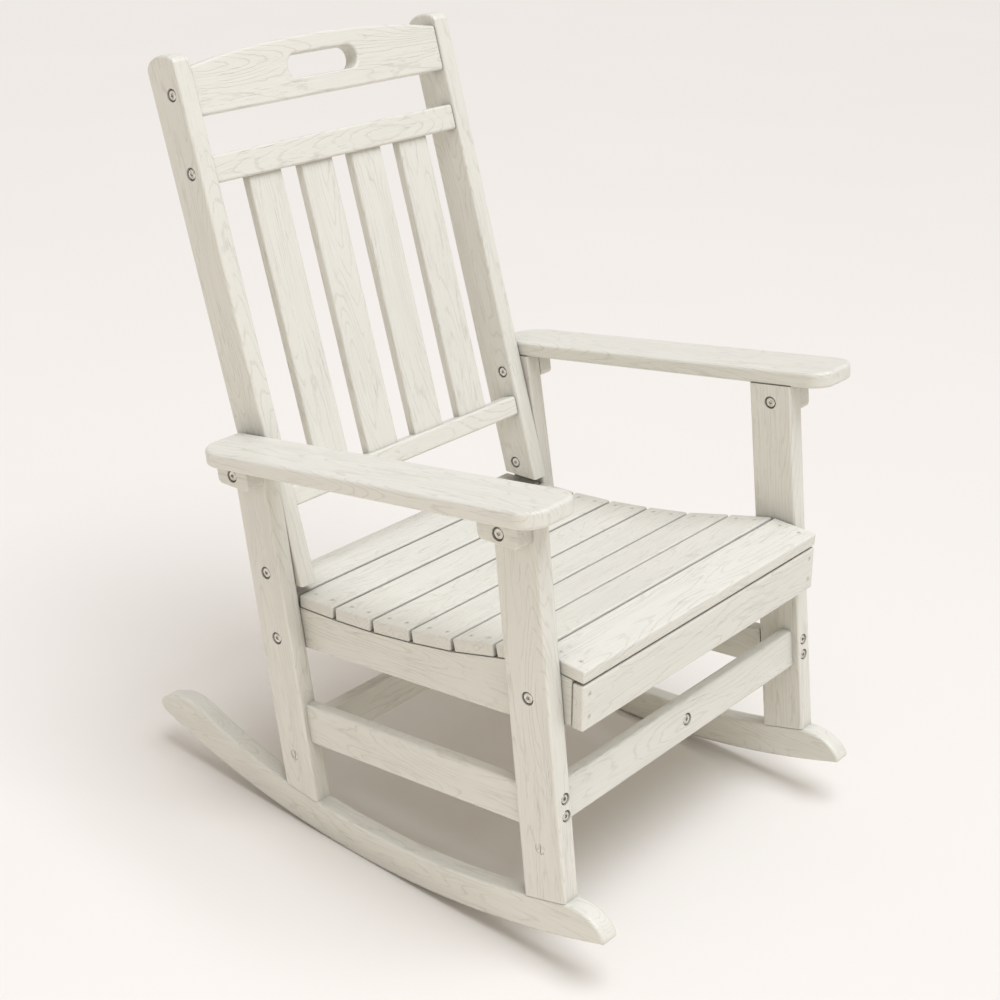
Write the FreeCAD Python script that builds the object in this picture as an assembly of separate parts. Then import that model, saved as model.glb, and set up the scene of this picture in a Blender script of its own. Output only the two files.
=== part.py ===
"""Rocking adirondack chair made of solid plastic lumber boards.

Millimetres. X runs to the sitter's left, Y to the back of the chair, Z up.
The boards are placed with the lowest point of the rockers' arc at depth 0 and
height 0. At the end the whole chair is rolled back on its rockers to the angle at
which it rests empty, its centre of mass over the touching line, and is moved so
that the origin lies on the floor under the middle of its depth. "left" and
"right" in the names are the sitter's. The left half is built and mirrored.
"""
import FreeCAD, Part
import math
import os

V = FreeCAD.Vector

# Board thicknesses and where the boards stand across the chair (X, left half).
FRAME_THICK = 29.0              # legs, rockers, back stiles and seat rails
LEG_INNER = 272.0
LEG_OUTER = LEG_INNER + FRAME_THICK
STILE_INNER = LEG_INNER - FRAME_THICK
BLOCK_THICK = 28.0
BLOCK_OUTER = LEG_OUTER + BLOCK_THICK
STRETCHER_THICK = 20.0
SEAT_HALF = 271.0               # slats and apron end just inside the legs
LONG_EDGE = 4.0                 # rounding along every board

# Rockers.
ROCK_RADIUS = 1316.0
ROCKER_DEPTH = 49.0
ROCKER_FRONT = -388.0           # ends of the bottom arc before the tip rounding
ROCKER_REAR = 449.0
REST_ANGLE = 2.251              # degrees that the empty chair rolls back until it balances
MID_DEPTH = -12.4               # middle of the rolled chair's depth behind the arc's centre

# Legs, as the depth of their faces at floor level and what it gains per mm of height.
FRONT_LEG = {"front": -342.3, "rear": -273.9, "slope": 0.1150}
REAR_LEG = {"front": 110.6, "rear": 172.5, "slope": 0.1710}

# Back: the front plane of the stiles leans by this angle from a foot at floor level.
BACK_ANGLE = 16.5
BACK_FOOT = 53.9
STILE_WIDTH = 60.0
STILE_BOTTOM = 371.5            # height of the stile's lower front corner
STILE_TOP = 1134.5              # along the board

# Arms.
ARM_TOP = 611.6                 # height of the top face over the touching line
ARM_SLOPE = 0.127               # drop per mm towards the back
ARM_THICK = 23.0
ARM_FRONT = -323.0
ARM_REAR = 278.0
ARM_INNER = LEG_INNER + 0.5
ARM_OUTER_FRONT = 367.0
ARM_OUTER_REAR = 360.0

# Seat: middles of the gaps between the slats, on the slats' top faces, back to front.
SEAT_TOP = [(246.0, 354.5), (174.5, 357.0), (104.2, 359.5), (32.8, 364.8), (-38.5, 373.8),
            (-111.9, 386.1), (-184.7, 403.7), (-258.5, 420.6), (-331.0, 415.6)]
SLAT_THICK = 19.0
SLAT_GAP = 5.0
SLAT_EDGE = 3.0
RAIL_UNDERSIDE = [(227.0, 271.6), (-205.0, 309.5), (-311.7, 332.3)]
RAIL_REAR_TOP = 237.0
APRON_FRONT = -329.7
APRON_THICK = 18.0
APRON_BOTTOM = 330.0
APRON_TOP = 394.0

# Fasteners.
BOLT_R, BOLT_HOLE_R = 4.0, 4.3
HEAD_R, HEAD_H = 7.2, 4.5       # cap head of a large bolt and of a cap nut
RECESS_R, RECESS_DEPTH = 9.3, 5.5
SMALL_BOLT_R, SMALL_HEAD_R, SMALL_RECESS_R = 3.0, 6.3, 8.3
SLEEVE_R, SLEEVE_HOLE_R, SLEEVE_LENGTH = 6.0, 6.3, 13.0
SOCKET_SHARE, SOCKET_DEPTH = 0.42, 3.0   # key socket's corner radius as a share of the head's
SCREW_HEAD_R, SCREW_R, SCREW_HEAD_H = 3.4, 2.1, 2.4
FIT = 0.1                       # radial clearance of a screw or dowel in its hole
DOWEL_R = 4.0

pieces = {}
holes = {}


# Small helpers for lines, boards and rounding.

def meet(p, q, r, s):
    """Point where the line through p and q meets the line through r and s."""
    ax, ay, bx, by = q[0] - p[0], q[1] - p[1], s[0] - r[0], s[1] - r[1]
    t = ((r[0] - p[0]) * by - (r[1] - p[1]) * bx) / (ax * by - ay * bx)
    return (p[0] + t * ax, p[1] + t * ay)


def offset_line(p, q, distance):
    """The line through p and q moved to its right-hand side, looking from p to q."""
    length = math.hypot(q[0] - p[0], q[1] - p[1])
    dy, dz = (q[1] - p[1]) / length * distance, -(q[0] - p[0]) / length * distance
    return (p[0] + dy, p[1] + dz), (q[0] + dy, q[1] + dz)


def side_board(outline, x_from, x_to):
    """Board with a side outline of (y, z) points, reaching from x_from to x_to."""
    corners = [V(x_from, y, z) for y, z in outline + outline[:1]]
    return Part.Face(Part.makePolygon(corners)).extrude(V(x_to - x_from, 0, 0))


def round_edges(shape, radius, wanted):
    """Round the edges for which wanted(middle point, direction) is true."""
    chosen = []
    for edge in shape.Edges:
        middle = (edge.FirstParameter + edge.LastParameter) / 2
        if wanted(edge.valueAt(middle), edge.tangentAt(middle)):
            chosen.append(edge)
    return shape.makeFillet(radius, chosen)


def along(direction):
    """Test for round_edges: the edge runs in this direction."""
    unit = V(*direction).normalize()
    return lambda point, tangent: abs(tangent.dot(unit)) > 0.999


def mirrored(shape):
    return shape.mirror(V(0, 0, 0), V(1, 0, 0))


def add_pair(stem, left):
    pieces[stem + "_left"] = left
    pieces[stem + "_right"] = mirrored(left)


def both_sides(shapes):
    return shapes + [mirrored(shape) for shape in shapes]


def drill(stem, tool):
    """Cut the tool from a piece, or from both pieces of a pair, with its mirror image."""
    if stem + "_left" in pieces:
        holes.setdefault(stem + "_left", []).append(tool)
        holes.setdefault(stem + "_right", []).append(mirrored(tool))
    else:
        holes.setdefault(stem, []).extend([tool, mirrored(tool)])


def cylinder(radius, start, end):
    """Cylinder between two points."""
    return Part.makeCylinder(radius, (end - start).Length, start, end - start)


def hexagon(radius):
    return Part.Face(Part.makePolygon([V(radius * math.cos(math.radians(60 * k)),
                                         radius * math.sin(math.radians(60 * k)), 0) for k in range(7)]))


def cap_head(face_point, inward, radius):
    """Cap head that sits RECESS_DEPTH deep in its recess, its rim rounded, with a key socket."""
    top = face_point + inward * (RECESS_DEPTH - HEAD_H)
    head = cylinder(radius, top, top + inward * HEAD_H)
    head = round_edges(head, 1.4, lambda p, t: abs((p - top).dot(inward)) < 0.01 and (p - top).Length > 1)
    key = hexagon(radius * SOCKET_SHARE).extrude(V(0, 0, SOCKET_DEPTH + 1))
    key.translate(V(0, 0, -1))
    key.Placement = FreeCAD.Placement(top, FreeCAD.Rotation(V(0, 0, 1), inward)) * key.Placement
    return head.cut(key)


def bolt(face_point, inward, length, radius=BOLT_R, head_radius=HEAD_R):
    """Cap head bolt sunk below the face; length is from the face to the shank's end."""
    inward = V(inward).normalize()
    shank = cylinder(radius, face_point + inward * (RECESS_DEPTH - 0.5), face_point + inward * length)
    return cap_head(face_point, inward, head_radius).fuse(shank).removeSplitter()


def bolt_hole(face_point, inward, length, radius=BOLT_HOLE_R, recess_radius=RECESS_R):
    inward = V(inward).normalize()
    recess = cylinder(recess_radius, face_point - inward * 5, face_point + inward * RECESS_DEPTH)
    return recess.fuse(cylinder(radius, face_point, face_point + inward * (length + 1)))


def through_bolt(y, z, x_outer, x_inner, stems):
    """Bolt from the outer face and a cap nut with a sleeve from the inner face."""
    outer, inner, inward, outward = V(x_outer, y, z), V(x_inner, y, z), V(-1, 0, 0), V(1, 0, 0)
    shank_end = x_outer - x_inner - RECESS_DEPTH - 1
    sleeve_start, sleeve_end = inner + outward * (RECESS_DEPTH - 0.5), inner + outward * (RECESS_DEPTH + SLEEVE_LENGTH)
    nut = cap_head(inner, outward, HEAD_R).fuse(cylinder(SLEEVE_R, sleeve_start, sleeve_end)).removeSplitter()
    nut = nut.cut(cylinder(BOLT_R + FIT, inner + outward * RECESS_DEPTH, sleeve_end + outward))
    tool = bolt_hole(outer, inward, x_outer - x_inner)
    tool = tool.fuse(cylinder(RECESS_R, inner - outward * 5, inner + outward * RECESS_DEPTH))
    tool = tool.fuse(cylinder(SLEEVE_HOLE_R, inner, sleeve_end + outward))
    for stem in stems:
        drill(stem, tool)
    return bolt(outer, inward, shank_end), nut


def screw(face_point, inward, length, stems):
    """Countersunk screw and its hole in the boards that it joins."""
    inward = V(inward).normalize()
    end = face_point + inward * length
    head = Part.makeCone(SCREW_HEAD_R, SCREW_R, SCREW_HEAD_H, face_point, inward)
    body = head.fuse(cylinder(SCREW_R, face_point + inward * 1, end)).removeSplitter()
    cross = Part.makeBox(0.9, 3.6, 1.6, V(-0.45, -1.8, -0.6))
    cross = cross.fuse(Part.makeBox(3.6, 0.9, 1.6, V(-1.8, -0.45, -0.6)))
    cross.Placement = FreeCAD.Placement(face_point, FreeCAD.Rotation(V(0, 0, 1), inward))
    tool = Part.makeCone(SCREW_HEAD_R + 2 * FIT, SCREW_R + FIT, SCREW_HEAD_H, face_point, inward)
    tool = tool.fuse(cylinder(SCREW_HEAD_R + 2 * FIT, face_point - inward * 5, face_point))
    tool = tool.fuse(cylinder(SCREW_R + FIT, face_point, end + inward * 0.5))
    for stem in stems:
        drill(stem, tool)
    return body.cut(cross)


def leg_y(leg, face, z):
    return leg[face] + leg["slope"] * z


def leg_axis(leg, z):
    """Depth of a leg's centre line at a height."""
    return (leg_y(leg, "front", z) + leg_y(leg, "rear", z)) / 2


# Rockers: a bottom arc, a top arc above it with a flat under each leg, a rounded nose
# in front and a deeper tail behind.

def rock_z(y, depth=0.0):
    """Height of the rocker's bottom arc, or of the arc this much above it."""
    radius = ROCK_RADIUS - depth
    return ROCK_RADIUS - math.sqrt(radius * radius - y * y)


def foot_of(leg):
    """Front and rear corner of a leg's foot on the rocker's top."""
    corners = []
    for face in ("front", "rear"):
        y = leg[face]
        for _ in range(20):
            y = leg_y(leg, face, rock_z(y, ROCKER_DEPTH))
        corners.append((y, rock_z(y, ROCKER_DEPTH)))
    return corners


def curve(points, x):
    spline = Part.BSplineCurve()
    spline.interpolate([V(x, y, z) for y, z in points])
    return spline.toShape()


def arc(y_from, y_to, depth, x):
    middle = (y_from + y_to) / 2
    return Part.Arc(*[V(x, y, rock_z(y, depth)) for y in (y_from, middle, y_to)]).toShape()


def straight(p, q, x):
    return Part.makeLine(V(x, p[0], p[1]), V(x, q[0], q[1]))


front_foot = foot_of(FRONT_LEG)
rear_foot = foot_of(REAR_LEG)
nose = [(ROCKER_FRONT, rock_z(ROCKER_FRONT)), (-393.6, 61.4), (-394.5, 65.2), (-392.2, 70.8),
        (-386.5, 77.6), (-376.5, 85.2), (-361.5, 91.4), (-346.5, 93.6), front_foot[0]]
tail = [rear_foot[1], (290.0, 86.5), (350.0, 106.0), (385.0, 117.6), (402.0, 119.2),
        (420.0, 116.2), (440.0, 109.4), (455.0, 102.5), (460.6, 94.5), (457.5, 86.0),
        (ROCKER_REAR, rock_z(ROCKER_REAR))]
rocker_edges = [
    arc(ROCKER_FRONT, ROCKER_REAR, 0.0, LEG_INNER),
    curve(tail[::-1], LEG_INNER),
    straight(rear_foot[1], rear_foot[0], LEG_INNER),
    arc(rear_foot[0][0], front_foot[1][0], ROCKER_DEPTH, LEG_INNER),
    straight(front_foot[1], front_foot[0], LEG_INNER),
    curve(nose[::-1], LEG_INNER),
]
rocker = Part.Face(Part.Wire(rocker_edges)).extrude(V(FRAME_THICK, 0, 0))
rocker = round_edges(rocker, LONG_EDGE, lambda p, t: abs(t.x) < 0.01)
add_pair("rocker", rocker)


# Legs, cut to the rocker below and to the underside of the arm above.

ARM_STEEP = math.hypot(1.0, ARM_SLOPE)
arm_under = ((0.0, ARM_TOP - ARM_THICK * ARM_STEEP), (100.0, ARM_TOP - ARM_THICK * ARM_STEEP - 100 * ARM_SLOPE))


def leg_board(leg, foot):
    """Leg between its foot and the arm."""
    top = [meet(arm_under[0], arm_under[1], (leg_y(leg, face, 0), 0), (leg_y(leg, face, 100), 100))
           for face in ("rear", "front")]
    board = side_board([foot[0], foot[1]] + top, LEG_INNER, LEG_OUTER)
    return round_edges(board, LONG_EDGE, along((0, leg["slope"], 1)))


add_pair("front_leg", leg_board(FRONT_LEG, front_foot))
add_pair("rear_leg", leg_board(REAR_LEG, rear_foot))


# Arms: flat boards with big rounded corners, tilted down towards the back.

def arm_board():
    length_front, length_rear = ARM_FRONT * ARM_STEEP, ARM_REAR * ARM_STEEP
    corners = [(ARM_INNER, length_front, 30.0), (ARM_OUTER_FRONT, length_front, 32.0),
               (ARM_OUTER_REAR, length_rear, 45.0), (ARM_INNER, length_rear, 12.0)]
    points, edges = [], []
    for k, (x, y, radius) in enumerate(corners):
        here = V(x, y, 0)
        before = V(*corners[k - 1][:2], 0)
        after = V(*corners[(k + 1) % 4][:2], 0)
        back, ahead = (before - here).normalize(), (after - here).normalize()
        half = back.getAngle(ahead) / 2
        reach = radius / math.tan(half)
        start, end = here + back * reach, here + ahead * reach
        middle = here + (back + ahead).normalize() * (radius / math.sin(half) - radius)
        points.append((start, middle, end))
    for k, (start, middle, end) in enumerate(points):
        edges.append(Part.Arc(start, middle, end).toShape())
        edges.append(Part.makeLine(end, points[(k + 1) % 4][0]))
    board = Part.Face(Part.Wire(edges)).extrude(V(0, 0, -ARM_THICK))
    board = round_edges(board, 5.0, lambda p, t: abs(t.z) < 0.01)
    board.rotate(V(0, 0, 0), V(1, 0, 0), -math.degrees(math.atan(ARM_SLOPE)))
    board.translate(V(0, 0, ARM_TOP))
    return board


add_pair("arm", arm_board())


# Blocks on the outer faces of the legs that carry the arms.

def arm_block(front, rear, bottom):
    """Block below the arm; its lower corners are rounded."""
    under = [meet(arm_under[0], arm_under[1], (y, 0), (y + s, 1)) for y, s in (rear, front)]
    lower = [(front[0] + front[1] * bottom, bottom), (rear[0] + rear[1] * bottom, bottom)]
    block = side_board(lower + under, LEG_OUTER, BLOCK_OUTER)
    block = round_edges(block, 8.0, lambda p, t: abs(t.x) > 0.99 and p.z < bottom + 0.1)
    return round_edges(block, 2.5, lambda p, t: abs(p.x - BLOCK_OUTER) < 0.01
                       and p.z < min(under[0][1], under[1][1]) - 0.5)


FRONT_BLOCK_BOTTOM, REAR_BLOCK_BOTTOM = 578.0, 522.0
add_pair("arm_block_front", arm_block((FRONT_LEG["front"] + 4.0, FRONT_LEG["slope"]),
                                      (FRONT_LEG["rear"], FRONT_LEG["slope"]), FRONT_BLOCK_BOTTOM))
add_pair("arm_block_rear", arm_block((REAR_LEG["front"] + 1.0, REAR_LEG["slope"]),
                                     (REAR_LEG["rear"], REAR_LEG["slope"]), REAR_BLOCK_BOTTOM))


# Back: everything is built upright with Y as the depth behind the stiles' front plane
# and Z as the length along the boards, then leaned back together.

CREST_DEPTH, CREST_THICK, CREST_BOTTOM = 4.0, 28.0, 1045.7
CREST_ARCH = [(243.0, 1112.8), (212.0, 1117.3), (188.0, 1120.8), (146.0, 1125.2), (104.0, 1128.3),
              (60.0, 1130.3), (0.0, 1131.5)]
HAND_SLOT_HALF, HAND_SLOT_HEIGHT, HAND_SLOT_MID = 68.5, 33.0, 1089.5
RAIL_DEPTH, RAIL_THICK = 4.0, 24.0
UPPER_RAIL = (954.4, 992.5)
LOWER_RAIL = (497.6, 527.5)
BACK_SLAT_X = (-150.5, -50.0, 50.0, 150.5)
BACK_SLAT_WIDTH, BACK_SLAT_DEPTH, BACK_SLAT_THICK = 62.0, 11.0, 16.0
TENON_LENGTH, TENON_DEPTH, TENON_THICK, TENON_SHOULDER = 11.0, 15.0, 8.0, 5.0
RAIL_REACH = STILE_INNER
BOARD_END_EDGE = 2.5


def at_the_ends(point, tangent):
    """Test for round_edges: the edge lies round an end of a rail between the stiles."""
    return abs(point.x) > RAIL_REACH - 0.01 and abs(tangent.x) < 0.01


def leaned(shape):
    shape.rotate(V(0, 0, 0), V(1, 0, 0), -BACK_ANGLE)
    shape.translate(V(0, BACK_FOOT, 0))
    return shape


def back_point(x, depth, length):
    """World point of a place on the leaned back."""
    angle = math.radians(BACK_ANGLE)
    return V(x, BACK_FOOT + length * math.sin(angle) + depth * math.cos(angle),
             length * math.cos(angle) - depth * math.sin(angle))


def stile_board():
    """Back stile: bottom end parallel to the seat, top end gently rounded."""
    bottom = STILE_BOTTOM / math.cos(math.radians(BACK_ANGLE))
    drop = STILE_WIDTH * math.tan(math.radians(BACK_ANGLE))
    outline = [(0.0, bottom), (STILE_WIDTH, bottom + drop),
               (STILE_WIDTH, STILE_TOP - 17.0), (STILE_WIDTH - 3.5, STILE_TOP - 9.0),
               (STILE_WIDTH - 11.5, STILE_TOP - 3.5), (STILE_WIDTH - 22.0, STILE_TOP - 0.5),
               (28.0, STILE_TOP), (16.0, STILE_TOP - 1.5), (6.0, STILE_TOP - 6.0), (0.0, STILE_TOP - 14.0)]
    x = STILE_INNER
    edges = [straight(outline[0], outline[1], x), straight(outline[1], outline[2], x),
             curve(outline[2:], x), straight(outline[-1], outline[0], x)]
    board = Part.Face(Part.Wire(edges)).extrude(V(FRAME_THICK, 0, 0))
    return leaned(round_edges(board, LONG_EDGE, lambda p, t: abs(t.x) < 0.01 and p.z > bottom + drop + 1))


def crest_board():
    """Crest rail with its arched top and the hand slot through it."""
    ends = [(-x, z) for x, z in CREST_ARCH[:-1]] + CREST_ARCH[::-1]
    arch = Part.BSplineCurve()
    arch.interpolate([V(x, CREST_DEPTH, z) for x, z in ends])
    left, right = V(243.0, CREST_DEPTH, CREST_BOTTOM), V(-243.0, CREST_DEPTH, CREST_BOTTOM)
    edges = [arch.toShape(), Part.makeLine(V(ends[-1][0], CREST_DEPTH, ends[-1][1]), left),
             Part.makeLine(left, right), Part.makeLine(right, V(ends[0][0], CREST_DEPTH, ends[0][1]))]
    board = Part.Face(Part.Wire(edges)).extrude(V(0, CREST_THICK, 0))
    radius = HAND_SLOT_HEIGHT / 2
    straight_half = HAND_SLOT_HALF - radius
    slot = Part.makeBox(2 * straight_half, CREST_THICK + 2, HAND_SLOT_HEIGHT,
                        V(-straight_half, CREST_DEPTH - 1, HAND_SLOT_MID - radius))
    for x in (-straight_half, straight_half):
        slot = slot.fuse(cylinder(radius, V(x, CREST_DEPTH - 1, HAND_SLOT_MID),
                                  V(x, CREST_DEPTH + CREST_THICK + 1, HAND_SLOT_MID)))
    board = board.cut(slot.removeSplitter())
    board = round_edges(board, LONG_EDGE, lambda p, t: abs(t.y) < 0.01 and abs(p.x) < RAIL_REACH - 0.1)
    return leaned(round_edges(board, BOARD_END_EDGE, at_the_ends))


def back_rail(span):
    board = Part.makeBox(2 * RAIL_REACH, RAIL_THICK, span[1] - span[0], V(-RAIL_REACH, RAIL_DEPTH, span[0]))
    board = round_edges(board, LONG_EDGE, along((1, 0, 0)))
    return leaned(round_edges(board, BOARD_END_EDGE, at_the_ends))


def tenon(x, start, length, clearance):
    """Stub on a back slat's end, or with clearance the mortise for it."""
    half = BACK_SLAT_WIDTH / 2 - TENON_SHOULDER + clearance
    return leaned(Part.makeBox(2 * half, TENON_THICK + 2 * clearance, length,
                               V(x - half, TENON_DEPTH - clearance, start)))


add_pair("back_stile", stile_board())
pieces["crest_rail"] = crest_board()
pieces["upper_back_rail"] = back_rail(UPPER_RAIL)
pieces["lower_back_rail"] = back_rail(LOWER_RAIL)
for number, x in enumerate(BACK_SLAT_X, 1):
    slat = Part.makeBox(BACK_SLAT_WIDTH, BACK_SLAT_THICK, UPPER_RAIL[0] - LOWER_RAIL[1],
                        V(x - BACK_SLAT_WIDTH / 2, BACK_SLAT_DEPTH, LOWER_RAIL[1]))
    slat = leaned(round_edges(slat, 3.5, along((0, 0, 1))))
    slat = slat.fuse(tenon(x, LOWER_RAIL[1] - TENON_LENGTH, TENON_LENGTH + 1, 0.0))
    slat = slat.fuse(tenon(x, UPPER_RAIL[0] - 1, TENON_LENGTH + 1, 0.0))
    pieces["back_slat_%d" % number] = slat.removeSplitter()
    holes.setdefault("lower_back_rail", []).append(
        tenon(x, LOWER_RAIL[1] - TENON_LENGTH - 0.5, TENON_LENGTH + 2, 0.25))
    holes.setdefault("upper_back_rail", []).append(
        tenon(x, UPPER_RAIL[0] - 1.5, TENON_LENGTH + 2, 0.25))


# Seat: two rails whose top edges follow the contour, slats lying on them and an apron
# over their front ends. Slat 1 is the front one.

seat_lines = [offset_line(SEAT_TOP[k], SEAT_TOP[k + 1], -SLAT_THICK) for k in range(len(SEAT_TOP) - 1)]
contour = [meet(*seat_lines[k], *seat_lines[k + 1]) for k in range(len(seat_lines) - 1)]
rail_front = APRON_FRONT + APRON_THICK
contour = [meet(*seat_lines[0], (RAIL_REAR_TOP, 0), (RAIL_REAR_TOP, 1))] + contour
contour.append(meet(*seat_lines[-1], (rail_front, 0), (rail_front, 1)))
seat_rail = side_board(contour + RAIL_UNDERSIDE[::-1], STILE_INNER, LEG_INNER)
seat_rail = round_edges(seat_rail, LONG_EDGE, lambda p, t: abs(t.x) < 0.01 and p.y < 220 and p.z < 325
                        and abs(t.z) < 0.5)
add_pair("seat_rail", seat_rail)

slat_screws = []
slat_count = len(SEAT_TOP) - 1
for k in range(slat_count):
    rear, front = SEAT_TOP[k], SEAT_TOP[k + 1]
    pitch = math.hypot(front[0] - rear[0], front[1] - rear[1])
    ahead = V(0, front[0] - rear[0], front[1] - rear[1]).normalize()
    down = V(0, -ahead.z, ahead.y)
    start = 0.0 if k == 0 else SLAT_GAP / 2
    end = pitch if k == slat_count - 1 else pitch - SLAT_GAP / 2
    base = V(-SEAT_HALF, rear[0], rear[1]) + ahead * start
    face = Part.Face(Part.makePolygon([base, base + ahead * (end - start),
                                       base + ahead * (end - start) + down * SLAT_THICK,
                                       base + down * SLAT_THICK, base]))
    slat = face.extrude(V(2 * SEAT_HALF, 0, 0))
    name = "seat_slat_%d" % (slat_count - k)
    pieces[name] = slat.makeFillet(SLAT_EDGE, slat.Edges)
    for place in (-16.0, 16.0):
        point = V(254.0, rear[0], rear[1]) + ahead * ((start + end) / 2 + place)
        slat_screws.append(screw(point, down, 40.0, [name, "seat_rail"]))

apron = Part.makeBox(2 * SEAT_HALF, APRON_THICK, APRON_TOP - APRON_BOTTOM,
                     V(-SEAT_HALF, APRON_FRONT, APRON_BOTTOM))
pieces["seat_apron"] = apron.makeFillet(SLAT_EDGE, apron.Edges)
apron_screws = [screw(V(258.0, APRON_FRONT, z), V(0, 1, 0), 50.0, ["seat_apron", "seat_rail"])
                for z in (348.0, 380.0)]


# Stretchers: one between the legs of each side, one between the front legs and one
# between the side stretchers at the back.

SIDE_STRETCHER_MID = ((-240.0, 203.4), (137.0, 171.8))
SIDE_STRETCHER_HIGH = 60.0
upper = offset_line(SIDE_STRETCHER_MID[0], SIDE_STRETCHER_MID[1], -SIDE_STRETCHER_HIGH / 2)
lower = offset_line(SIDE_STRETCHER_MID[0], SIDE_STRETCHER_MID[1], SIDE_STRETCHER_HIGH / 2)


def face_line(leg, face):
    return (leg_y(leg, face, 0), 0), (leg_y(leg, face, 100), 100)


outline = [meet(*lower, *face_line(FRONT_LEG, "rear")), meet(*lower, *face_line(REAR_LEG, "front")),
           meet(*upper, *face_line(REAR_LEG, "front")), meet(*upper, *face_line(FRONT_LEG, "rear"))]
side_stretcher = side_board(outline, LEG_INNER, LEG_INNER + STRETCHER_THICK)
slope = (upper[1][1] - upper[0][1]) / (upper[1][0] - upper[0][0])
add_pair("side_stretcher", round_edges(side_stretcher, LONG_EDGE, along((0, 1, slope))))


def cross_board(bottom_front, up, height, reach):
    """Board across the chair from -reach to reach, standing on its lower front edge."""
    up = V(*up).normalize()
    rearward = V(0, up.z, -up.y)
    corner = V(-reach, *bottom_front)
    face = Part.Face(Part.makePolygon([corner, corner + up * height,
                                       corner + up * height + rearward * STRETCHER_THICK,
                                       corner + rearward * STRETCHER_THICK, corner]))
    return round_edges(face.extrude(V(2 * reach, 0, 0)), LONG_EDGE, along((1, 0, 0)))


FRONT_STRETCHER = {"bottom": 192.5, "height": 57.0, "behind_leg_front": 12.0}
REAR_STRETCHER = {"front": 109.5, "bottom": 147.0, "height": 54.0}
front_tilt = (0, FRONT_LEG["slope"], 1)
front_corner = (leg_y(FRONT_LEG, "front", FRONT_STRETCHER["bottom"]) + FRONT_STRETCHER["behind_leg_front"],
                FRONT_STRETCHER["bottom"])
pieces["front_stretcher"] = cross_board(front_corner, front_tilt, FRONT_STRETCHER["height"], LEG_INNER)
rear_tilt = (0, -slope, 1)
rear_corner = (REAR_STRETCHER["front"] - REAR_STRETCHER["height"] * -slope / 2, REAR_STRETCHER["bottom"])
pieces["rear_stretcher"] = cross_board(rear_corner, rear_tilt, REAR_STRETCHER["height"], LEG_INNER)


# Bolts through the legs with their cap nuts.

block_bolts, leg_bolts, cap_nuts = [], [], []
for leg, ahead, z, outer, inner, stems, group in (
        (FRONT_LEG, 0.0, 592.5, BLOCK_OUTER, LEG_INNER, ["arm_block_front", "front_leg"], block_bolts),
        (REAR_LEG, 0.0, 538.5, BLOCK_OUTER, STILE_INNER, ["arm_block_rear", "rear_leg", "back_stile"], block_bolts),
        (FRONT_LEG, 0.0, 367.5, LEG_OUTER, STILE_INNER, ["front_leg", "seat_rail"], leg_bolts),
        (REAR_LEG, 3.0, 391.5, LEG_OUTER, STILE_INNER, ["rear_leg", "back_stile"], leg_bolts),
        (REAR_LEG, 3.0, 295.0, LEG_OUTER, STILE_INNER, ["rear_leg", "seat_rail"], leg_bolts)):
    one_bolt, one_nut = through_bolt(leg_axis(leg, z) - ahead, z, outer, inner, stems)
    group.append(one_bolt)
    cap_nuts.append(one_nut)


# Bolts through the stiles into the ends of the crest and of the back rails.

INWARD = V(-1, 0, 0)
BACK_BOLT_LENGTH = 75.0
back_bolts = []
for stem, depth, length in (("crest_rail", 20.0, 1080.0), ("upper_back_rail", 20.0, 973.5)):
    point = back_point(LEG_INNER, depth, length)
    back_bolts.append(bolt(point, INWARD, BACK_BOLT_LENGTH))
    for part_stem in (stem, "back_stile"):
        drill(part_stem, bolt_hole(point, INWARD, BACK_BOLT_LENGTH, BOLT_R + FIT))
lower_rail_screws = [screw(back_point(LEG_INNER, 16.0, length), INWARD, 70.0, ["back_stile", "lower_back_rail"])
                     for length in (506.5, 518.5)]


# Bolts up through the rockers into barrel nuts across the legs.

BARREL_R, BARREL_LENGTH = 8.0, 22.0
ROCKER_RECESS = 16.0
rocker_bolts, barrel_nuts = [], []
for leg, z in ((FRONT_LEG, 158.5), (REAR_LEG, 117.0)):
    axis = V(0, leg["slope"], 1).normalize()
    nut_middle = V((LEG_INNER + LEG_OUTER) / 2, leg_axis(leg, z), z)
    y = nut_middle.y
    for _ in range(20):
        y = leg_axis(leg, rock_z(y))
    head = V(nut_middle.x, y, rock_z(y)) + axis * ROCKER_RECESS
    length = (nut_middle - head).Length + BARREL_R + 4
    rocker_bolts.append(bolt(head, axis, length))
    tool = cylinder(RECESS_R, head - axis * 30, head + axis * RECESS_DEPTH)
    drill("rocker", tool.fuse(cylinder(BOLT_HOLE_R, head, head + axis * (length + 1))))
    leg_stem = "front_leg" if leg is FRONT_LEG else "rear_leg"
    drill(leg_stem, cylinder(BOLT_HOLE_R, head, head + axis * (length + 1)))
    nut_outer = V(LEG_OUTER - 0.5, nut_middle.y, z)
    nut = cylinder(BARREL_R, nut_outer, nut_outer - V(BARREL_LENGTH, 0, 0))
    nut = nut.cut(cylinder(BOLT_R + FIT, nut_middle - axis * 20, nut_middle + axis * 20))
    barrel_nuts.append(nut.cut(Part.makeBox(2.0, 1.6, 2 * BARREL_R - 4,
                                            V(LEG_OUTER - 1.7, nut_middle.y - 0.8, z - BARREL_R + 2))))
    drill(leg_stem, cylinder(BARREL_R + FIT, V(LEG_OUTER + 1, nut_middle.y, z),
                             nut_outer - V(BARREL_LENGTH + 0.2, 0, 0)))


# Bolts through the legs into the ends of the side stretchers.

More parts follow.
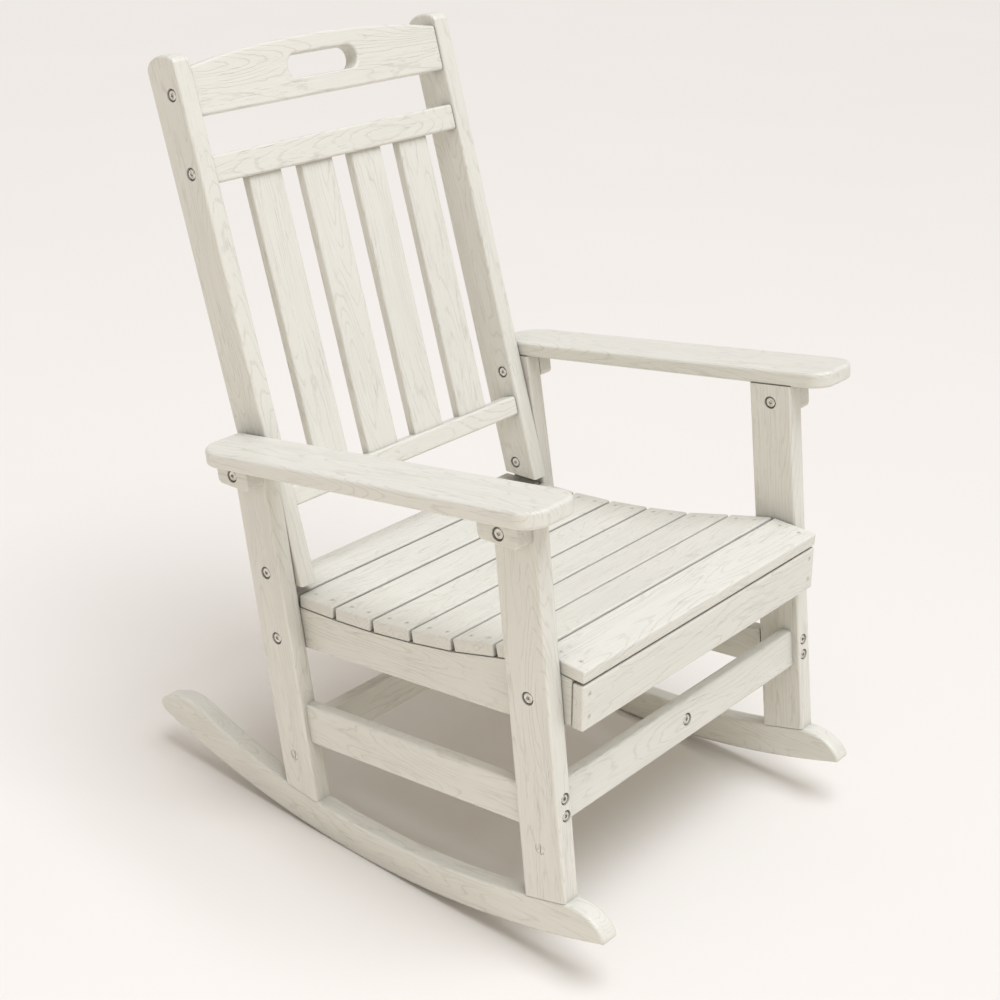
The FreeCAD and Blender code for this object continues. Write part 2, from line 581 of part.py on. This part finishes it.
STRETCHER_BOLT_X, STRETCHER_BOLT_LENGTH = 284.0, 125.0
stretcher_bolts = []
for leg, face, stem, sign, heights in ((FRONT_LEG, "front", "front_leg", 1, (235.0, 211.0)),
                                       (REAR_LEG, "rear", "rear_leg", -1, (173.5, 150.0))):
    inward = V(0, 1, -leg["slope"]).normalize() * sign
    for z in heights:
        point = V(STRETCHER_BOLT_X, leg_y(leg, face, z), z)
        stretcher_bolts.append(bolt(point, inward, STRETCHER_BOLT_LENGTH, SMALL_BOLT_R, SMALL_HEAD_R))
        tool = bolt_hole(point, inward, STRETCHER_BOLT_LENGTH, SMALL_BOLT_R + FIT, SMALL_RECESS_R)
        drill(stem, tool)
        drill("side_stretcher", tool)


# Hidden dowels that hold the front and the rear stretcher.

dowels = []
for stem, other, leg_depth, middles in (
        ("front_stretcher", "front_leg", 20.0, (0.28, 0.72)),
        ("rear_stretcher", "side_stretcher", 13.0, (0.28, 0.72))):
    tilt = V(*(front_tilt if stem == "front_stretcher" else rear_tilt)).normalize()
    corner = front_corner if stem == "front_stretcher" else rear_corner
    height = (FRONT_STRETCHER if stem == "front_stretcher" else REAR_STRETCHER)["height"]
    for share in middles:
        point = V(LEG_INNER, *corner) + tilt * (height * share)
        point += V(0, tilt.z, -tilt.y) * (STRETCHER_THICK / 2)
        start, end = point - V(28, 0, 0), point + V(leg_depth, 0, 0)
        dowels.append(cylinder(DOWEL_R, start, end))
        for one_stem in (stem, other):
            drill(one_stem, cylinder(DOWEL_R + FIT, start - V(1, 0, 0), end + V(1, 0, 0)))


# The bolt in the middle of the front stretcher, with a nut and a washer behind it.

tilt = V(*front_tilt).normalize()
rearward = V(0, tilt.z, -tilt.y)
middle_face = V(0, *front_corner) + tilt * (FRONT_STRETCHER["height"] / 2)
middle_bolt = bolt(middle_face, rearward, STRETCHER_THICK + 10)
holes.setdefault("front_stretcher", []).append(bolt_hole(middle_face, rearward, STRETCHER_THICK))
nut_start = middle_face + rearward * STRETCHER_THICK
NUT_R, NUT_HEIGHT = 7.5, 6.5
middle_nut = hexagon(NUT_R).extrude(V(0, 0, NUT_HEIGHT))
middle_nut = middle_nut.cut(Part.makeCylinder(BOLT_R + FIT, NUT_HEIGHT + 2, V(0, 0, -1)))
middle_nut.Placement = FreeCAD.Placement(nut_start, FreeCAD.Rotation(V(0, 0, 1), rearward))


# Screws up through the blocks into the arms.

arm_screws = []
arm_normal = V(0, ARM_SLOPE, 1).normalize()
for stem, leg, bottom, offset in (("arm_block_front", FRONT_LEG, FRONT_BLOCK_BOTTOM, 20.0),
                                  ("arm_block_rear", REAR_LEG, REAR_BLOCK_BOTTOM, 18.0)):
    for side in (-1, 1):
        start = V((LEG_OUTER + BLOCK_OUTER) / 2, leg_axis(leg, bottom) + side * offset, bottom)
        arm_screws.append(screw(start, V(0, 0, 1), 52.0, [stem, "arm"]))


# Fastener groups, holes, the move to the middle of the depth and the files.

groups = {
    "seat_slat_screws": both_sides(slat_screws),
    "apron_screws": both_sides(apron_screws),
    "arm_block_bolts": both_sides(block_bolts),
    "leg_bolts": both_sides(leg_bolts),
    "cap_nuts": both_sides(cap_nuts),
    "back_bolts": both_sides(back_bolts),
    "lower_back_rail_screws": both_sides(lower_rail_screws),
    "rocker_bolts": both_sides(rocker_bolts),
    "barrel_nuts": both_sides(barrel_nuts),
    "side_stretcher_bolts": both_sides(stretcher_bolts),
    "stretcher_dowels": both_sides(dowels),
    "front_stretcher_bolt": [middle_bolt],
    "front_stretcher_nut": [middle_nut],
    "arm_screws": both_sides(arm_screws),
}
for name, tools in holes.items():
    pieces[name] = pieces[name].cut(tools)

os.makedirs("parts", exist_ok=True)
for name, shape in list(pieces.items()) + [(name, Part.makeCompound(solids)) for name, solids in groups.items()]:
    moved = shape.copy()
    moved.rotate(V(0, 0, ROCK_RADIUS), V(1, 0, 0), -REST_ANGLE)
    moved.translate(V(0, -MID_DEPTH, 0))
    if name in pieces:
        moved = moved.Solids[0] if len(moved.Solids) == 1 else moved
    moved.exportStep("parts/%s.step" % name)
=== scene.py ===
"""Looks of the rocking adirondack chair: embossed ivory plastic lumber, sunk stainless bolts,
colour-matched screws, a pale studio floor, soft light and the photograph's viewpoint.
Everything is in metres in the chair's own frame: +X sitter's left, +Y back, +Z up."""
import math
import bpy
import numpy as np
from mathutils import Matrix, Vector

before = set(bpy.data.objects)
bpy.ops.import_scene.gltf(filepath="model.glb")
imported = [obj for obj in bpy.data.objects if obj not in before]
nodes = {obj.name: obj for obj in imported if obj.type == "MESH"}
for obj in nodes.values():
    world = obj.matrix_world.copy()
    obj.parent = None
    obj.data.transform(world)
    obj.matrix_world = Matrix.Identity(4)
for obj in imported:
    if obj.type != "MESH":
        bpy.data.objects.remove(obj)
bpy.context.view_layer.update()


# Boards that run across the chair: crest, back rails, seat slats, apron and stretchers.
# They are extruded ivory plastic lumber with a wood grain rolled into their faces, cut to
# length, with their edges rounded, and are screwed or bolted to the boards beside them.

def linear(code):
    """Linear colour of an sRGB hex code."""
    parts = [int(code[k:k + 2], 16) / 255 for k in (1, 3, 5)]
    return [c / 12.92 if c <= 0.04045 else ((c + 0.055) / 1.055) ** 2.4 for c in parts] + [1.0]


def add(tree, kind, links=None, **settings):
    """Adds a shader node; settings named in_x set the socket x, the others a property."""
    node = tree.nodes.new(kind)
    for key, value in settings.items():
        if not key.startswith("in_"):
            setattr(node, key, value)
    for key, value in settings.items():
        if key.startswith("in_"):
            socket = key[3:]
            node.inputs[int(socket) if socket.isdigit() else socket.replace("_", " ")].default_value = value
    for socket, source in (links or {}).items():
        tree.links.new(source, node.inputs[socket])
    return node


def maths(tree, operation, first, second, clamp=False):
    """Maths node over two values, each a socket or a number."""
    node = add(tree, "ShaderNodeMath", operation=operation, use_clamp=clamp)
    for k, value in enumerate((first, second)):
        if isinstance(value, (int, float)):
            node.inputs[k].default_value = value
        else:
            tree.links.new(value, node.inputs[k])
    return node.outputs[0]


def stretched_noise(tree, place, along, across, axis, detail, rough=0.55, shift=0.0):
    """Noise drawn out along one axis; along and across are the size of its features in mm."""
    scale = [1000.0 / across] * 3
    scale[axis] = 1000.0 / along
    mapped = add(tree, "ShaderNodeMapping", {"Vector": place}, in_Scale=scale,
                 in_Location=(shift, shift * 0.7, shift * 1.3))
    return add(tree, "ShaderNodeTexNoise", {"Vector": mapped.outputs[0]}, in_Scale=1.0,
               in_Detail=detail, in_Roughness=rough).outputs[0]


def ramp(tree, value, low, high):
    """Value remapped smoothly from 0 at low to 1 at high."""
    return add(tree, "ShaderNodeMapRange", {"Value": value}, interpolation_type="SMOOTHSTEP",
               in_From_Min=low, in_From_Max=high).outputs[0]


def lumber(name, lean, axis, face="#E2E0D5", groove="#A8A18E"):
    """Ivory plastic lumber. lean turns the boards about X, in degrees, until their grain
    lies along the axis. The embossed pattern is fine fibres, arched growth lines like the
    height lines on a map, and short sunk strokes. Each board takes it from another place.
    The colour is also darkened by up to 38 % within 70 mm of another surface. That is no
    property of the lumber: it deepens the shade in the corners, which the lamps leave pale.
    The fibres are drawn 1.3 mm wide, coarser than the real ones, so that they show."""
    lines_on_a_hill, line_width, wobble_share = 26.0, 0.14, 0.025
    stroke_tint, line_tint, fibre_tint, middle_fibre = 0.22, 0.20, 0.40, 0.42
    fibre_height, stroke_depth, line_depth, swell = 0.35, 0.7, 0.6, 1.2
    grain_depth, shade_reach, darkest, cloud_tone = 0.0004, 0.07, 0.62, 0.05
    material = bpy.data.materials.new(name)
    material.use_nodes = True
    tree = material.node_tree
    shader = tree.nodes["Principled BSDF"]

    object_place = add(tree, "ShaderNodeTexCoord").outputs["Object"]
    number = add(tree, "ShaderNodeAttribute", attribute_name="board_number").outputs["Fac"]
    turned = add(tree, "ShaderNodeVectorRotate", {"Vector": object_place}, rotation_type="X_AXIS",
                 in_Angle=math.radians(lean)).outputs[0]
    apart = add(tree, "ShaderNodeCombineXYZ", {0: number, 1: number, 2: number}).outputs[0]
    place = add(tree, "ShaderNodeVectorMath", {0: turned, 1: apart}, operation="ADD").outputs[0]

    fibres = stretched_noise(tree, place, 60, 1.3, axis, 3)
    strokes = ramp(tree, stretched_noise(tree, place, 30, 1.2, axis, 2, shift=3.1), 0.58, 0.70)
    patches = ramp(tree, stretched_noise(tree, place, 110, 20, axis, 1, shift=7.7), 0.45, 0.62)
    sunk = maths(tree, "MULTIPLY", strokes, patches)

    hill = stretched_noise(tree, place, 420, 55, axis, 1, 0.4, shift=1.9)
    wobble = stretched_noise(tree, place, 22, 7, axis, 2, shift=5.2)
    level = maths(tree, "MULTIPLY", maths(tree, "ADD", hill, maths(tree, "MULTIPLY", wobble, wobble_share)),
                  lines_on_a_hill)
    growth = ramp(tree, maths(tree, "PINGPONG", level, 0.5), line_width, 0.02)
    broken = ramp(tree, stretched_noise(tree, place, 120, 16, axis, 2, shift=6.6), 0.32, 0.56)
    growth = maths(tree, "MULTIPLY", growth, broken)

    dark = maths(tree, "ADD", maths(tree, "MULTIPLY", sunk, stroke_tint),
                 maths(tree, "MULTIPLY", growth, line_tint))
    grain = maths(tree, "MULTIPLY", maths(tree, "SUBTRACT", fibres, middle_fibre), fibre_tint)
    dark = maths(tree, "ADD", dark, grain, clamp=True)
    colour = add(tree, "ShaderNodeMix", {"Factor": dark}, data_type="RGBA")
    colour.inputs[6].default_value = linear(face)
    colour.inputs[7].default_value = linear(groove)

    cloud = stretched_noise(tree, place, 500, 120, axis, 1, shift=9.4)
    open_air = add(tree, "ShaderNodeAmbientOcclusion", samples=8, in_Distance=shade_reach).outputs["AO"]
    corners = maths(tree, "ADD", maths(tree, "MULTIPLY", ramp(tree, open_air, 0.2, 0.95), 1 - darkest), darkest)
    uneven = maths(tree, "ADD", maths(tree, "MULTIPLY", cloud, cloud_tone), 0.98)
    tone = add(tree, "ShaderNodeHueSaturation", {"Color": colour.outputs[2],
               "Value": maths(tree, "MULTIPLY", corners, uneven)})
    tree.links.new(tone.outputs[0], shader.inputs["Base Color"])

    cut = maths(tree, "ADD", maths(tree, "MULTIPLY", sunk, stroke_depth),
                maths(tree, "MULTIPLY", growth, line_depth))
    height = maths(tree, "SUBTRACT", maths(tree, "MULTIPLY", fibres, fibre_height), cut)
    height = maths(tree, "ADD", height, maths(tree, "MULTIPLY", cloud, swell))
    bump = add(tree, "ShaderNodeBump", {"Height": height}, in_Strength=0.9, in_Distance=grain_depth)
    tree.links.new(bump.outputs[0], shader.inputs["Normal"])
    tree.links.new(maths(tree, "ADD", maths(tree, "MULTIPLY", fibres, 0.18), 0.30), shader.inputs["Roughness"])
    shader.inputs["IOR"].default_value = 1.5
    return material


def dress(material, *names):
    """Gives CAD nodes one material and smooth shading over their rounded edges. The number
    on every corner of a board, different on each, moves the board's pattern."""
    sharp_edge, pattern_step = 32, 1.7  # degrees, metres
    for name in names:
        mesh = nodes[name].data
        mesh.materials.clear()
        mesh.materials.append(material)
        mesh.shade_smooth()
        mesh.set_sharp_from_angle(angle=math.radians(sharp_edge))
        number = mesh.attributes.new("board_number", "FLOAT", "POINT")
        moved = pattern_step * list(nodes).index(name)
        number.data.foreach_set("value", np.full(len(mesh.vertices), moved, np.float32))


across = lumber("ivory_plastic_lumber_across", 0.0, 0)
dress(across, "crest_rail", "upper_back_rail", "lower_back_rail", "seat_apron",
      "front_stretcher", "rear_stretcher", *["seat_slat_%d" % k for k in range(1, 9)])


# Back stiles and back slats: the same lumber with its grain up the leaning back. The
# stiles are bolted to the rear legs, and the slats stand in the two back rails.

BACK_LEAN = 18.75  # degrees, as all the angles of the boards below
dress(lumber("ivory_plastic_lumber_back", BACK_LEAN, 2),
      "back_stile_left", "back_stile_right", *["back_slat_%d" % k for k in range(1, 5)])


# Legs: the same lumber with its grain up the front legs and up the rear legs, which lean
# back further. They stand on the rockers and are bolted to the seat rails and arm blocks.

FRONT_LEG_LEAN = 8.81
REAR_LEG_LEAN = 11.95
dress(lumber("ivory_plastic_lumber_front_legs", FRONT_LEG_LEAN, 2), "front_leg_left", "front_leg_right")
dress(lumber("ivory_plastic_lumber_rear_legs", REAR_LEG_LEAN, 2), "rear_leg_left", "rear_leg_right")


# Arms and the blocks under them: the same lumber with its grain from front to back along
# the arms, which fall towards the back. The blocks are bolted to the legs.

ARM_FALL = 9.49
dress(lumber("ivory_plastic_lumber_arms", ARM_FALL, 1), "arm_left", "arm_right",
      "arm_block_front_left", "arm_block_front_right", "arm_block_rear_left", "arm_block_rear_right")


# Rockers, seat rails and side stretchers: boards on edge, cut from the same lumber with
# their grain from front to back, nearly level.

SIDE_FALL = 5.4
dress(lumber("ivory_plastic_lumber_sides", SIDE_FALL, 1), "rocker_left", "rocker_right",
      "seat_rail_left", "seat_rail_right", "side_stretcher_left", "side_stretcher_right")


# Bolts, cap nuts, barrel nuts and the hidden screws: brushed stainless steel with fine
# turning marks and slightly uneven polish, sunk into recesses in the lumber.

def steel(name, light="#E2DFD8", dull="#B9B5AC"):
    """Stainless steel: grainy marks of 0.5 mm and patches of 5 mm that are a little duller."""
    material = bpy.data.materials.new(name)
    material.use_nodes = True
    tree = material.node_tree
    shader = tree.nodes["Principled BSDF"]
    place = add(tree, "ShaderNodeTexCoord").outputs["Object"]
    marks = stretched_noise(tree, place, 0.5, 0.5, 0, 3)
    smudge = stretched_noise(tree, place, 5.0, 5.0, 0, 2, shift=2.0)
    colour = add(tree, "ShaderNodeMix", {"Factor": ramp(tree, smudge, 0.35, 0.75)}, data_type="RGBA")
    colour.inputs[6].default_value = linear(light)
    colour.inputs[7].default_value = linear(dull)
    tree.links.new(colour.outputs[2], shader.inputs["Base Color"])
    shader.inputs["Metallic"].default_value = 1.0
    tree.links.new(maths(tree, "ADD", maths(tree, "MULTIPLY", smudge, 0.25), 0.2), shader.inputs["Roughness"])
    bump = add(tree, "ShaderNodeBump", {"Height": marks}, in_Strength=0.3, in_Distance=0.00004)
    tree.links.new(bump.outputs[0], shader.inputs["Normal"])
    return material


dress(steel("brushed_stainless_steel"), "arm_block_bolts", "leg_bolts", "back_bolts", "cap_nuts", "barrel_nuts",
      "rocker_bolts", "side_stretcher_bolts", "front_stretcher_bolt", "front_stretcher_nut",
      "arm_screws", "lower_back_rail_screws")


# Seat and apron screws: steel with a painted head that matches the lumber, a little
# darker from the driver's marks.

def painted_screw():
    """Baked paint over steel, with chips about 1 mm wide where the driver has worn it."""
    material = bpy.data.materials.new("colour_matched_screw_paint")
    material.use_nodes = True
    tree = material.node_tree
    shader = tree.nodes["Principled BSDF"]
    place = add(tree, "ShaderNodeTexCoord").outputs["Object"]
    chips = ramp(tree, stretched_noise(tree, place, 1.2, 1.2, 0, 3), 0.52, 0.72)
    colour = add(tree, "ShaderNodeMix", {"Factor": chips}, data_type="RGBA")
    colour.inputs[6].default_value = linear("#D6D1C2")
    colour.inputs[7].default_value = linear("#A8A292")
    tree.links.new(colour.outputs[2], shader.inputs["Base Color"])
    tree.links.new(maths(tree, "ADD", maths(tree, "MULTIPLY", chips, 0.2), 0.4), shader.inputs["Roughness"])
    bump = add(tree, "ShaderNodeBump", {"Height": chips}, in_Strength=0.3, in_Distance=0.0001)
    tree.links.new(bump.outputs[0], shader.inputs["Normal"])
    return material


dress(painted_screw(), "seat_slat_screws", "apron_screws")


# Hidden dowels in the stretchers' ends: plain off-white moulded nylon with a faint
# mottle, pressed into drilled holes.

def nylon():
    """Off-white nylon with a mottle of 3 mm."""
    material = bpy.data.materials.new("nylon_dowel")
    material.use_nodes = True
    tree = material.node_tree
    shader = tree.nodes["Principled BSDF"]
    place = add(tree, "ShaderNodeTexCoord").outputs["Object"]
    mottle = stretched_noise(tree, place, 3.0, 3.0, 0, 2)
    colour = add(tree, "ShaderNodeMix", {"Factor": mottle}, data_type="RGBA")
    colour.inputs[6].default_value = linear("#E6E2D6")
    colour.inputs[7].default_value = linear("#D8D3C5")
    tree.links.new(colour.outputs[2], shader.inputs["Base Color"])
    shader.inputs["Roughness"].default_value = 0.5
    return material


dress(nylon(), "stretcher_dowels")


# Floor: a wide plain sheet of warm pale card under the rockers, so wide that its end is far
# behind what the camera sees. It is no part of the chair.

def floor_sheet(half=40.0):
    """Level square at height zero, from -half to half, in metres."""
    mesh = bpy.data.meshes.new("studio_floor")
    mesh.from_pydata([(-half, -half, 0), (half, -half, 0), (half, half, 0), (-half, half, 0)], [], [(0, 1, 2, 3)])
    sheet = bpy.data.objects.new("studio_floor", mesh)
    bpy.context.collection.objects.link(sheet)
    material = bpy.data.materials.new("pale_studio_floor")
    material.use_nodes = True
    tree = material.node_tree
    shader = tree.nodes["Principled BSDF"]
    place = add(tree, "ShaderNodeTexCoord").outputs["Object"]
    haze = stretched_noise(tree, place, 900, 900, 0, 2)
    colour = add(tree, "ShaderNodeMix", {"Factor": haze}, data_type="RGBA")
    colour.inputs[6].default_value = linear("#EDE9E2")
    colour.inputs[7].default_value = linear("#EAE6DE")
    tree.links.new(colour.outputs[2], shader.inputs["Base Color"])
    shader.inputs["Roughness"].default_value = 0.85
    shader.inputs["Specular IOR Level"].default_value = 0.15
    mesh.materials.append(material)


floor_sheet()


# Light: a warm-white sky, a wide soft source high in front of the chair, which gives the
# soft shadow behind and under it and leaves the floor even, a weak disc over the chair and a
# small low fill for the boards' outer sides.

def lamp(name, kind, place, aim, energy, colour, **settings):
    """Lamp at a place, turned to an aim and hidden from the camera."""
    data = bpy.data.lights.new(name, kind)
    data.energy = energy
    data.color = linear(colour)[:3]
    for key, value in settings.items():
        setattr(data, key, value)
    source = bpy.data.objects.new(name, data)
    source.location = place
    source.rotation_euler = (Vector(aim) - Vector(place)).to_track_quat("-Z", "Y").to_euler()
    source.visible_camera = False
    bpy.context.collection.objects.link(source)


lamp("wide_source", "SUN", (0, -1.456, 4.0), (0, 0, 0), 1.9, "#EEF4FF", angle=math.radians(40))
lamp("overhead_disc", "AREA", (-0.3, -1.2, 4.3), (0, 0, 0.4), 32.0, "#F3F5FF", shape="DISK", size=3.0)
lamp("low_side_fill", "AREA", (-1.9, -0.9, 0.3), (0, 0, 0.35), 3.2, "#FFF7EC", shape="DISK", size=0.9)
world = bpy.data.worlds.new("studio_sky")
world.use_nodes = True
world.node_tree.nodes["Background"].inputs["Color"].default_value = linear("#FFF7F1")
world.node_tree.nodes["Background"].inputs["Strength"].default_value = 0.54
bpy.context.scene.world = world
bpy.context.scene.view_settings.view_transform = "Standard"


# Camera: the photograph's viewpoint, found from the chair's edges in it. It looks down on
# the chair from in front of the sitter's right.

camera_data = bpy.data.cameras.new("photo_camera")
camera_data.sensor_width = 36.0
camera_data.lens = 64.29
camera_data.shift_x = 0.0266
camera_data.shift_y = -0.0496
camera = bpy.data.objects.new("photo_camera", camera_data)
right, up, back = Vector((0.65527, -0.75481, 0.02967)), Vector((0.27906, 0.27838, 0.91904)), \
    Vector((-0.70196, -0.59394, 0.39305))
turn = Matrix((right, up, back)).transposed().to_4x4()
camera.matrix_world = Matrix.Translation((-1.8103, -1.46703, 1.52767)) @ turn
bpy.context.collection.objects.link(camera)
bpy.context.scene.camera = camera
